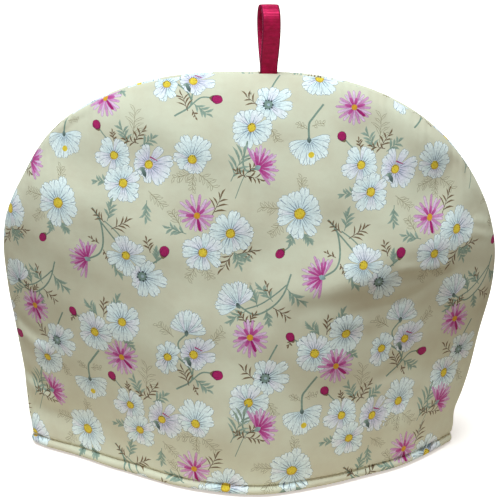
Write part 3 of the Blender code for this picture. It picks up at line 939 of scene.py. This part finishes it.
def planar_map(sprays, side):
    """The flat panel in triangles: its points, its triangles and the shapes painted on it."""
    line = evenly(MM * seam_line(SEAM_POINTS), OUTLINE_STEP) @ (1, 1j)
    outline = np.concatenate([line, line[-2:0:-1].conj()])
    shapes = printed_shapes(sprays, outline, side)
    fold = np.arange(outline.real.min() - CELL, outline.real.max() + CELL, FOLD_STEP) - 1j * MM * TURNING
    print_points, print_edges = visible_edges(shapes)
    points = np.concatenate([outline, fold, print_points, grid_points(outline, line)])
    ring = np.arange(len(outline))
    along = len(ring) + np.arange(len(fold) - 1)
    edges = np.concatenate([np.stack([ring, np.roll(ring, -1)], axis=1),
                            np.stack([along, along + 1], axis=1),
                            print_edges + len(outline) + len(fold)])
    places = [Vector((point.real, point.imag)) for point in points.tolist()]
    result = delaunay_2d_cdt(places, edges.tolist(), [], 0, MERGE, False)
    points = np.array([complex(*place) for place in result[0]])
    triangles = np.array(result[2])
    triangles = triangles[inside_polygon(points[triangles].mean(axis=1), outline)]
    used, renumbered = np.unique(triangles, return_inverse=True)
    return points[used], renumbered.reshape(-1, 3), shapes


# ---- Cloth panels --------------------------------------------------------------------------------

SEAM_WALL = 0.0016         # the layers are pressed thin where the seam is sewn
FULL_DEPTH = 0.020         # the wadding is full where the panel stands out this far
HOLE_REACH = 0.0006        # size of the dimple at a needle hole
SIDE_STEP = 0.00006        # for the slopes that the normals come from
TURN_BACK = 100.0          # beyond this flat height they are taken downwards, away from the seam
BAKE_SPAN = 0.400          # the flat cloth's width and height on its texture map
BAKE_MARGIN = 0.196        # from the map's left edge to the middle line
BAKE_HEM = 0.085           # from the map's lower edge to the hem's lowest edge
INNER_SQUEEZE = 0.26       # the plain inner face takes little of the map
CORNER_REACH = 0.1         # a point this near to the hem's lowest edge may be a cut's corner


def stitch_offset(u, height):
    """The hem's stitches draw the cloth in, most at each needle hole, and the band below them swells."""
    level = (height - HEM_STITCH) / HEM_GROOVE_WIDTH
    groove = HEM_GROOVE * np.exp(-level**2)
    hole = (u / STITCH_PITCH - np.round(u / STITCH_PITCH)) * STITCH_PITCH / HOLE_REACH
    dimple = STITCH_DIMPLE * np.exp(-hole**2 - level**2)
    puff = HEM_PUFF * np.sin(math.pi * np.clip(height / HEM_STITCH, 0.0, 1.0))
    return puff - groove - dimple


def lay(flat, side):
    """Lay flat places, in millimetres, on a panel's form, in metres."""
    u, v = flat.real / MM, flat.imag / MM
    height = height_at(v)
    place, normal = surface_and_normal(across_at(u, height), height, side)
    wall = SEAM_WALL + (WALL - SEAM_WALL) * smooth_step(place[:, 1] / FULL_DEPTH)
    face = np.sin(edge_turn(v))
    out = face * stitch_offset(u, height) - wall / 2 * (1 - face)
    place = place + normal * out[:, None]
    place[:, 1] = np.maximum(place[:, 1], SEAM_GAP / 2) * side["facing"]
    place[:, 2] = np.maximum(place[:, 2], 0.0)
    return place


def laid_normals(flat, side):
    """Outward normals of the laid cloth, from small steps that stay on it."""
    ahead = np.where(flat.real > 0, -1, 1) * MM * SIDE_STEP
    inner = np.where(flat.imag < -TURN_BACK, 1, np.sign(flat.imag + 1e-9))
    up = np.where(flat.imag > TURN_BACK, -1, inner)
    here = lay(flat, side)
    beside = lay(flat + ahead, side)
    above = lay(flat + ahead + 1j * up * MM * SIDE_STEP, side)
    over = (beside - here) * np.sign(ahead)[:, None]
    rise = (above - beside) * up[:, None]
    normal = np.cross(over, rise) * -side["facing"]
    return normal / np.maximum(np.linalg.norm(normal, axis=1, keepdims=True), 1e-15)


def edge_chains(points, triangles):
    """The outer and the inner seam edge of a flat panel, each from its right corner to its left."""
    directed = np.concatenate([triangles[:, [0, 1]], triangles[:, [1, 2]], triangles[:, [2, 0]]])
    pairs = set(map(tuple, directed.tolist()))
    after = {a: b for a, b in pairs if (b, a) not in pairs}
    rim = list(after)
    start = max((k for k in rim if abs(points[k].imag) < CORNER_REACH), key=lambda k: points[k].real)
    walk = [start]
    while after[walk[-1]] != start:
        walk.append(after[walk[-1]])
    corner = min(range(len(walk)), key=lambda k: abs(points[walk[k]].imag) + points[walk[k]].real)
    return walk[:corner + 1], [start] + walk[:corner - 1:-1]


def close_seam(points, outer, inner):
    """Triangles that join the outer seam edge to the inner one, as the seam's cut layers do."""
    def shares(chain):
        steps = np.abs(np.diff(points[chain]))
        return run_along(steps) / steps.sum()
    outer_share, inner_share = shares(outer), shares(inner)
    i, j, made = 0, 0, []
    while i < len(outer) - 1 or j < len(inner) - 1:
        step_outer = j == len(inner) - 1 or (
            i < len(outer) - 1 and outer_share[i + 1] <= inner_share[j + 1])
        if step_outer:
            made.append((outer[i + 1], outer[i], inner[j]))
            i += 1
        else:
            made.append((inner[j], inner[j + 1], outer[i]))
            j += 1
    return [triangle for triangle in made if len(set(triangle)) == 3]


def corner_inks(points, triangles, owners, shapes):
    """Red, green, blue and amount of ink at every corner of every triangle."""
    first = np.array([shape["inks"][0] for shape in shapes] + [BARE])
    last = np.array([shape["inks"][1] for shape in shapes] + [BARE])
    root = np.array([shape["root"] for shape in shapes] + [0j])[owners][:, None]
    run = np.array([shape["tip"] - shape["root"] for shape in shapes] + [1 + 0j])[owners][:, None]
    share = ((points[triangles] - root) * run.conj()).real / np.abs(run) ** 2
    share = np.clip(share, 0.0, 1.0)[:, :, None]
    return first[owners][:, None, :] * (1 - share) + last[owners][:, None, :] * share


def bake_places(flat):
    """The flat cloth laid out on the texture map, its inner face squeezed small."""
    v = np.where(flat.imag < 0, INNER_SQUEEZE * flat.imag, flat.imag) / MM
    return np.stack([(flat.real / MM + BAKE_MARGIN) / BAKE_SPAN, (v + BAKE_HEM) / BAKE_SPAN], axis=-1)


def new_piece(name, mesh, surface):
    """A new object that rides with the cosy and takes the finish that it is given."""
    piece = bpy.data.objects.new(name, mesh)
    bpy.context.scene.collection.objects.link(piece)
    mesh.materials.append(surface)
    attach(piece, "root")
    return piece


def cloth_panel(name, side, sprays, surface):
    """One padded panel: the flat map of its print, laid on the form and closed along the seam."""
    flat, triangles, shapes = planar_map(sprays, side)
    outer, inner = edge_chains(flat, triangles)
    closing = np.array(close_seam(flat, outer, inner))
    owners = top_shapes(flat[triangles].mean(axis=1), shapes)
    printed = flat[triangles].imag.mean(axis=1) > -MM * TURNING
    owners[~printed] = -1
    inks = corner_inks(flat, triangles, owners, shapes)
    inks = np.concatenate([inks, np.tile(BARE, (len(closing), 3, 1))])
    spread = np.abs(flat.imag) * 1j + flat.real
    places = np.concatenate([bake_places(flat[triangles]), bake_places(spread[closing])])
    triangles = np.concatenate([triangles, closing])
    if side["facing"] > 0:
        triangles, inks, places = triangles[:, ::-1], inks[:, ::-1], places[:, ::-1]

    laid = lay(flat, side)
    laid[outer + inner, 1] = 0.0     # sewn: both panels' seam edges lie in the seam plane
    mesh = bpy.data.meshes.new(name)
    mesh.from_pydata(laid.tolist(), [], triangles.tolist())
    mesh.color_attributes.new("Ink", "FLOAT_COLOR", "CORNER").data.foreach_set("color", inks.ravel())
    mesh.uv_layers.new(name="OFBake").uv.foreach_set("vector", places.ravel())
    mesh.shade_smooth()
    mesh.normals_split_custom_set_from_vertices(laid_normals(flat, side).tolist())
    return new_piece(name, mesh, surface)


# ---- Hem stitches --------------------------------------------------------------------------------

STITCH_LENGTH = 0.0019     # what shows of a stitch between two needle holes
THREAD = 0.00055           # thickness of the sewing thread
STITCH_RINGS = 7
STITCH_SIDES = 6
THREAD_TAPER = 0.75        # how much thinner a stitch is at its ends
THREAD_SINK = (0.15, 1.1)  # how deep it lies at its middle, and how much more at its ends


def stitch_tube(points, normals):
    """One stitch: a short thread that dips into a needle hole at each end."""
    run = np.gradient(points, axis=0)
    run /= np.linalg.norm(run, axis=1, keepdims=True)
    side = np.cross(run, normals)
    rings = []
    for k, (point, across, out) in enumerate(zip(points, side, normals)):
        along = 2 * k / (len(points) - 1) - 1
        radius = THREAD / 2 * math.sqrt(max(1 - THREAD_TAPER * along**4, 0.0))
        sink = THREAD * (THREAD_SINK[0] + THREAD_SINK[1] * along**4)
        for turn in np.arange(STITCH_SIDES) * 2 * math.pi / STITCH_SIDES:
            rings.append(point + radius * (math.cos(turn) * across + math.sin(turn) * out) - sink * out)
    return rings


def tube_faces(first, rings, sides):
    """The faces of a closed tube whose rings of points start at number first."""
    faces = [tuple(first + k for k in range(sides))[::-1],
             tuple(first + (rings - 1) * sides + k for k in range(sides))]
    for ring in range(rings - 1):
        for k in range(sides):
            low = first + ring * sides
            follow = (k + 1) % sides
            faces.append((low + k, low + follow, low + sides + follow, low + sides + k))
    return faces


def hem_stitches(name, side, surface):
    """The row of stitches in the hem's groove, on the outer and on the inner face."""
    v = MM * (EDGE_RUN + HEM_STITCH - HEM_ROUND)
    pitch = MM * STITCH_PITCH
    ends = [edge * MM for edge in run_at(np.array([-1.0, 1.0]), np.array([HEM_STITCH] * 2))]
    first, last = math.ceil(ends[0] / pitch) + 1, math.floor(ends[1] / pitch) - 1
    along = np.linspace(-MM / 2, MM / 2, STITCH_RINGS) * STITCH_LENGTH
    points, faces = [], []
    for face in (1, -1):
        for number in range(first, last):
            flat = (number + 0.5) * pitch + along + 1j * face * v
            tube = stitch_tube(lay(flat, side), laid_normals(flat, side))
            faces += tube_faces(len(points), STITCH_RINGS, STITCH_SIDES)
            points += tube
    mesh = bpy.data.meshes.new(name)
    mesh.from_pydata([tuple(point) for point in points], [], faces)
    tidy_normals(mesh)
    return new_piece(name, mesh, surface)


def tidy_normals(mesh):
    """Turns every closed shell of a mesh to face outwards, and shades it smooth."""
    shape = bmesh.new()
    shape.from_mesh(mesh)
    bmesh.ops.recalc_face_normals(shape, faces=shape.faces)
    shape.to_mesh(mesh)
    shape.free()
    mesh.shade_smooth()


# ---- Ribbon loop ---------------------------------------------------------------------------------

RIBBON_X = 0.0125          # from the middle of the cosy to the ribbon's own
RIBBON_WIDTH = 0.0120
RIBBON_THICKNESS = 0.0005
RIBBON_TOP = 0.3195        # above the hem
RIBBON_NECK = 0.0020       # the two legs part this far above the seam
RIBBON_PINCH = 0.06        # the ribbon is drawn in by this part of its width at the seam
PINCH_HEIGHT = 0.012       # the pinch has faded this far above the tails' ends
TAIL_DEPTH = 0.0040        # how deep its tails are sewn into the seam
TAIL_GAP = 0.00035         # from the middle of a tail to the seam plane
LOOP_SPREAD = 0.0085       # how far each leg stands out from the seam plane
LOOP_POWER = 1.5           # moves the widest place of the loop up
LOOP_TWIST = 0.30          # how far the loop turns aside as it stands out
LOOP_STEPS = 56            # along each leg
RIBBON_COLUMNS = 14
RIBBON_BOW = 0.00015       # how far the ribbon's middle stands out from its edges
RIBBON_SPAN = 0.120        # of its texture map
RIBBON_MARGIN = 0.005      # from the map's edges to the ribbon
RIBBON_FACE = 0.0123       # round the section from one edge to the other


def seam_top():
    """Height of the seam where the ribbon is sewn in."""
    across = RIBBON_X / half_width(np.array(1.0), HEIGHT)
    return float(seam_height(across))


def ribbon_line():
    """The ribbon's middle line seen from the side, (out, height) from its front tail to its back one."""
    neck = seam_top() + RIBBON_NECK
    rise = RIBBON_TOP - RIBBON_THICKNESS / 2 - RIBBON_BOW - neck
    line = [(TAIL_GAP, height) for height in np.linspace(seam_top() - TAIL_DEPTH, neck, 8)]
    for step in range(1, LOOP_STEPS + 1):
        turn = math.pi * step / LOOP_STEPS
        half = math.sin(turn / 2)
        out = LOOP_SPREAD * math.sin(turn) * half**LOOP_POWER
        line.append((max(out, TAIL_GAP) if step < LOOP_STEPS else 0.0, neck + rise * half**2))
    return np.array(line + [(-out, height) for out, height in reversed(line[:-1])])


def ribbon_section():
    """The ribbon cut across, as (place across, place through), round from one edge to the other."""
    half = RIBBON_WIDTH / 2
    across = np.linspace(-1.0, 1.0, RIBBON_COLUMNS)
    thick = RIBBON_THICKNESS / 2 * (1 - 0.45 * across**8)
    bow = RIBBON_BOW * (1 - across**2)
    over = list(zip(half * across, bow + thick))
    under = list(zip(half * across, bow - thick))
    return over + under[::-1]


def ribbon_loop(surface):
    """The ribbon as one closed strip along its line, and its flat length."""
    line = ribbon_line()
    run = np.gradient(line, axis=0)
    run /= np.linalg.norm(run, axis=1, keepdims=True)
    lengths = run_along(np.linalg.norm(np.diff(line, axis=0), axis=1))
    section_line = ribbon_section()
    girth = run_along([math.dist(a, b) for a, b in zip(section_line, section_line[1:])])
    tail_end = line[0][1]
    points = []
    for (out, height), (run_out, run_up) in zip(line, run):
        for across, through in section_line:
            y = -(out + through * run_up)
            z = height - through * run_out
            pinch = RIBBON_PINCH * math.exp(-((z - tail_end) / PINCH_HEIGHT) ** 2)
            points.append((RIBBON_X + across * (1 - pinch) - LOOP_TWIST * y, y, z))
    sides = len(section_line)
    mesh = bpy.data.meshes.new("ribbon")
    mesh.from_pydata(points, [], tube_faces(0, len(line), sides))
    layer = mesh.uv_layers.new(name="OFBake")
    for polygon in mesh.polygons:
        columns = [vert % sides for vert in polygon.vertices]
        wraps = max(columns) - min(columns) > 1
        for loop, vert, column in zip(polygon.loop_indices, polygon.vertices, columns):
            place = girth[-1] if wraps and column == 0 else girth[column]
            run_on = lengths[vert // sides]
            layer.data[loop].uv = ((RIBBON_MARGIN + place) / RIBBON_SPAN,
                                   (RIBBON_MARGIN + run_on) / RIBBON_SPAN)
    tidy_normals(mesh)
    return new_piece("ribbon", mesh, surface), float(lengths[-1])


# ---- Materials -----------------------------------------------------------------------------------

GROUND_PALE = ink(221, 223, 200)
GROUND_DEEP = ink(212, 208, 184)
THREAD_COLOUR = ink(176, 160, 120)
RIBBON_COLOUR = ink(204, 8, 80)
RIBBON_DEEP = ink(166, 4, 56)
# The darker edge colour: partly the ribbon's firmer selvedge, partly painted shade where the edge turns
# away.
RIBBON_EDGE = ink(132, 6, 56)
YARN = 0.00036             # between the yarns of the cotton
RIB = 0.00095              # between the ribs of the ribbon


def new_material(name):
    """A material with its node tree and its shader."""
    made = bpy.data.materials.new(name)
    made.use_nodes = True
    return made, made.node_tree, made.node_tree.nodes["Principled BSDF"]


def fill(tree, node, **inputs):
    """Give a node's inputs their values, or link them to the sockets given for them."""
    for key, value in inputs.items():
        socket = node.inputs[int(key[1:]) if key[1:].isdigit() else key.replace("_", " ")]
        if isinstance(value, bpy.types.NodeSocket):
            tree.links.new(value, socket)
        else:
            socket.default_value = value


def add(tree, kind, settings=None, **inputs):
    """A new node with its settings and its inputs."""
    node = tree.nodes.new(kind)
    for key, value in (settings or {}).items():
        setattr(node, key, value)
    fill(tree, node, **inputs)
    return node


def math_node(tree, operation, *values):
    """One step of arithmetic on one or two values."""
    inputs = {f"i{k}": value for k, value in enumerate(values)}
    return add(tree, "ShaderNodeMath", {"operation": operation}, **inputs).outputs[0]


def mix_colour(tree, share, first, second):
    """A colour between two, nearer the second one as the share goes from 0 to 1."""
    return add(tree, "ShaderNodeMix", {"data_type": "RGBA"}, i0=share, i6=first, i7=second).outputs[2]


def shaded(tree, colour, value):
    """A colour made lighter or darker by a factor."""
    return add(tree, "ShaderNodeHueSaturation", Value=value, Color=colour).outputs[0]


def noise(tree, vector, scale, detail=2.0, roughness=0.5):
    """Soft random patches, scale of them to a metre."""
    return add(tree, "ShaderNodeTexNoise", Vector=vector, Scale=scale, Detail=detail,
               Roughness=roughness).outputs[0]


def remap(tree, value, low, high, to_low, to_high):
    """A value moved from one range to another, and held inside it."""
    return add(tree, "ShaderNodeMapRange", Value=value, i1=low, i2=high, i3=to_low, i4=to_high).outputs[0]


def flat_metres(tree, span):
    """The flat cloth's own coordinates in metres."""
    place = add(tree, "ShaderNodeUVMap", {"uv_map": "OFBake"}).outputs[0]
    return add(tree, "ShaderNodeVectorMath", {"operation": "SCALE"}, Vector=place, Scale=span).outputs[0]


def ribs(tree, coordinate, pitch):
    """A wave from -1 to 1 that repeats at every pitch along a coordinate in metres."""
    return math_node(tree, "SINE", math_node(tree, "MULTIPLY", coordinate, 2 * math.pi / pitch))


def printed_cotton():
    """Cream cotton with its print: inks that vary a little as washes do, a fine weave and soft creases."""
    made, tree, shader = new_material("printed_cotton")
    metres = flat_metres(tree, BAKE_SPAN)
    place = add(tree, "ShaderNodeSeparateXYZ", Vector=metres)
    weave = math_node(tree, "MULTIPLY", ribs(tree, place.outputs[0], YARN),
                      ribs(tree, place.outputs[1], YARN))
    broad = remap(tree, noise(tree, metres, 34.0, 5.0, 0.62), 0.3, 0.7, 0.0, 1.0)
    ground = mix_colour(tree, broad, GROUND_PALE, GROUND_DEEP)
    printed = add(tree, "ShaderNodeAttribute", {"attribute_name": "Ink"})
    wash = remap(tree, noise(tree, metres, 620.0, 4.0, 0.7), 0.25, 0.75, 0.74, 1.22)
    washed = shaded(tree, printed.outputs["Color"], wash)
    colour = mix_colour(tree, printed.outputs["Alpha"], ground, washed)
    colour = shaded(tree, colour, remap(tree, weave, -1.0, 1.0, 0.97, 1.02))
    rough = remap(tree, noise(tree, metres, 90.0), 0.3, 0.7, 0.80, 0.92)
    creases = add(tree, "ShaderNodeBump", Strength=0.5, Distance=0.0008,
                  Height=noise(tree, metres, 75.0, 4.0, 0.55))
    fine = add(tree, "ShaderNodeBump", Strength=0.35, Distance=0.00006, Height=weave,
               Normal=creases.outputs[0])
    fill(tree, shader, Base_Color=colour, Roughness=rough, Sheen_Weight=0.08,
         Specular_IOR_Level=0.25, Normal=fine.outputs[0])
    return made


def sewing_thread():
    """Pale brown thread, lighter and darker by its twist."""
    made, tree, shader = new_material("sewing_thread")
    place = add(tree, "ShaderNodeTexCoord").outputs["Object"]
    twist = noise(tree, place, 2600.0, 1.0)
    pale = tuple(min(1.0, 1.35 * value) for value in THREAD_COLOUR[:3]) + (1.0,)
    colour = mix_colour(tree, remap(tree, twist, 0.35, 0.65, 0.0, 1.0), THREAD_COLOUR, pale)
    bump = add(tree, "ShaderNodeBump", Strength=0.4, Distance=0.0001, Height=twist)
    fill(tree, shader, Base_Color=colour, Roughness=0.6, Normal=bump.outputs[0])
    return made


def satin_ribbon():
    """Crimson satin with fine ribs across it, with painted shade between the ribs and painted light on
    their crests, and a darker edge that is partly its firmer selvedge and partly painted shade where the
    edge turns away.
    """
    made, tree, shader = new_material("satin_ribbon")
    metres = flat_metres(tree, RIBBON_SPAN)
    place = add(tree, "ShaderNodeSeparateXYZ", Vector=metres)
    wave = ribs(tree, place.outputs[1], RIB)
    patchy = remap(tree, noise(tree, metres, 320.0, 3.0), 0.3, 0.7, 0.0, 1.0)
    colour = mix_colour(tree, patchy, RIBBON_COLOUR, RIBBON_DEEP)
    # Painted light and shade of the ribs: the colour is darker in the grooves between them and lighter on
    # their crests.
    colour = shaded(tree, colour, remap(tree, wave, -1.0, 1.0, 0.66, 1.10))
    # Darker towards both edges: partly the firmer selvedge, partly painted shade where the edge turns
    # away.
    from_edge = math_node(tree, "SUBTRACT", place.outputs[0], RIBBON_MARGIN)
    turn = math_node(tree, "MULTIPLY", from_edge, 2 * math.pi / RIBBON_FACE)
    near_edge = math_node(tree, "COSINE", turn)
    colour = mix_colour(tree, remap(tree, near_edge, 0.82, 0.97, 0.0, 1.0), colour, RIBBON_EDGE)
    bump = add(tree, "ShaderNodeBump", Strength=0.5, Distance=0.0002, Height=wave)
    fill(tree, shader, Base_Color=colour, Roughness=remap(tree, wave, -1.0, 1.0, 0.40, 0.26),
         Metallic=0.45, Specular_IOR_Level=0.6, Specular_Tint=(1.0, 0.45, 0.75, 1.0), Anisotropic=0.4,
         Normal=bump.outputs[0])
    return made


# ---- Stage ---------------------------------------------------------------------------------------

CAMERA_PLACE = Vector((0.0, -1.1276, 0.5573))
CAMERA_AIM = Vector((0.0, 0.0, 0.1469))
LENS = 124.5               # millimetres, on a sensor 36 mm wide
SUN_PLACE = Vector((-0.25, -0.44, 2.2))    # the soft light comes from here towards the middle
SUN_ANGLE = 40.0
SUN_POWER = 3.88
SUN_COLOUR = (0.83, 0.94, 1.0)
WORLD_COLOUR = (0.99, 0.82, 0.62)
WORLD_POWER = 0.235
FLOOR = 3.0                # half the width of the floor
FLOOR_LEVEL = -0.0004      # just below the hem, so that the two do not touch
FLOOR_COLOUR = (0.95, 0.90, 0.84)
FLOOR_GLOW = 0.45          # keeps the floor white in the cosy's own shadow
CARD = (0.240, 0.195)      # half sizes of the card on the floor that throws light back up
CARD_SIDES = 96
CARD_COLOUR = (0.78, 0.69, 0.60)


def aimed(item, place, aim):
    """Put a lamp or camera at a place and turn it towards another."""
    item.location = place
    item.rotation_euler = (aim - place).to_track_quat("-Z", "Y").to_euler()
    bpy.context.scene.collection.objects.link(item)


def flat_piece(name, corners, colour, **finish):
    """A plain matt piece of the floor."""
    mesh = bpy.data.meshes.new(name)
    mesh.from_pydata(corners, [], [tuple(range(len(corners)))])
    piece = bpy.data.objects.new(name, mesh)
    bpy.context.scene.collection.objects.link(piece)
    made, tree, shader = new_material(name)
    fill(tree, shader, Base_Color=(*colour, 1.0), Roughness=0.9, **finish)
    mesh.materials.append(made)
    return piece


def studio_floor():
    """A wide pale floor that throws no light back, and a smaller card near the cosy that does."""
    square = [(FLOOR * x, FLOOR * y, FLOOR_LEVEL) for x, y in ((-1, -1), (1, -1), (1, 1), (-1, 1))]
    floor = flat_piece("floor", square, FLOOR_COLOUR, Emission_Color=(1.0, 1.0, 1.0, 1.0),
                       Emission_Strength=FLOOR_GLOW)
    floor.visible_diffuse = False
    turns = [2 * math.pi * k / CARD_SIDES for k in range(CARD_SIDES)]
    oval = [(CARD[0] * math.cos(turn), CARD[1] * math.sin(turn), FLOOR_LEVEL / 2) for turn in turns]
    card = flat_piece("card", oval, CARD_COLOUR)
    card.visible_camera = False
    card.visible_shadow = False


def soft_sun():
    """The wide soft light from above."""
    lamp = bpy.data.lights.new("sun", "SUN")
    lamp.angle = math.radians(SUN_ANGLE)
    lamp.energy = SUN_POWER
    lamp.color = SUN_COLOUR
    aimed(bpy.data.objects.new("sun", lamp), SUN_PLACE, Vector((0.0, 0.0, 0.0)))


def world_light():
    """The even light of the room."""
    world = bpy.data.worlds.new("studio")
    world.use_nodes = True
    tree = world.node_tree
    fill(tree, tree.nodes["Background"], Color=(*WORLD_COLOUR, 1.0), Strength=WORLD_POWER)
    bpy.context.scene.world = world


def stage():
    """Floor, light and camera."""
    studio_floor()
    world_light()
    soft_sun()
    camera = bpy.data.cameras.new("camera")
    camera.lens = LENS
    view = bpy.data.objects.new("camera", camera)
    aimed(view, CAMERA_PLACE, CAMERA_AIM)
    bpy.context.scene.camera = view
    bpy.context.scene.view_settings.view_transform = "Standard"


# ---- The tea cosy --------------------------------------------------------------------------------


def build():
    """All pieces, with the CAD parts that they stand for hidden."""
    sprays = drawn_sprays()
    cotton, thread, satin = printed_cotton(), sewing_thread(), satin_ribbon()
    front = cloth_panel("front_cloth", SIDES["front"], sprays, cotton)
    back = cloth_panel("back_cloth", SIDES["back"], sprays, cotton)
    front_thread = hem_stitches("front_stitches", SIDES["front"], thread)
    back_thread = hem_stitches("back_stitches", SIDES["back"], thread)
    ribbon, ribbon_length = ribbon_loop(satin)
    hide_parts("front_panel")
    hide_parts("back_panel")
    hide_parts("ribbon_loop")


build()
stage()
